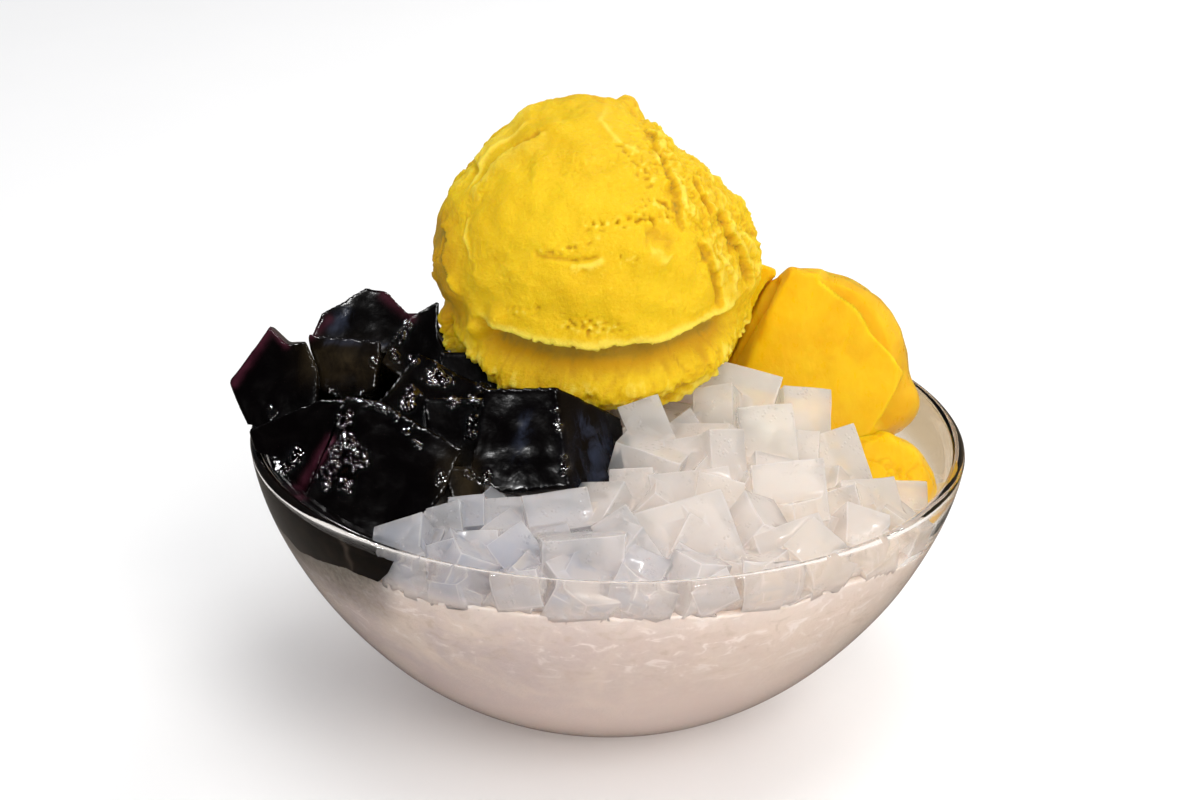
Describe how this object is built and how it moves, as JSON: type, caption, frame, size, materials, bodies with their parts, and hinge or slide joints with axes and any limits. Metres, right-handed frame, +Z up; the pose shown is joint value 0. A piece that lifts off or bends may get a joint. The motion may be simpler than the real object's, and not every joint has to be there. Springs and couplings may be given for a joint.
{
  "type": "bowl of grass jelly dessert",
  "caption": "Clear round bowl of coconut ice heaped with coconut jelly cubes, black grass jelly blocks and mango, topped with a scoop of mango ice cream.",
  "frame": {"origin": "centre of the bowl's flat foot, on the surface it stands on", "axes": "+Z up along the bowl's axis, -Y towards the dessert's front as in the picture, +X to the right with the mango"},
  "size_m": [0.1548, 0.1498, 0.1276],
  "materials": {
    "clear_glass": "clear, glossy, smooth",
    "coconut_ice": "milky, wet, soft blotches",
    "coconut_jelly": "translucent white, wet",
    "ice_cream": "mango yellow, matte, rough where it tore",
    "mango": "ripe yellow flesh, satin, wet",
    "grass_jelly": "near black, wet and glossy"
  },
  "bodies": {
    "root": {"bowl": "clear_glass", "coconut_ice": "coconut_ice", "coconut_jelly": "coconut_jelly", "ice_cream": "ice_cream", "mango_cheek": "mango", "mango_slice": "mango", "mango_low": "mango", "mango_back": "mango", "mango_back_middle": "mango", "grass_jelly_front": "grass_jelly", "grass_jelly_crest": "grass_jelly", "grass_jelly_right": "grass_jelly", "grass_jelly_low": "grass_jelly", "grass_jelly_rim": "grass_jelly", "grass_jelly_middle": "grass_jelly", "grass_jelly_wedge": "grass_jelly", "grass_jelly_peak": "grass_jelly", "grass_jelly_back_left": "grass_jelly", "grass_jelly_back": "grass_jelly", "grass_jelly_deep_front": "grass_jelly", "grass_jelly_deep_side": "grass_jelly", "grass_jelly_deep_back": "grass_jelly"}
  },
  "joints": []
}
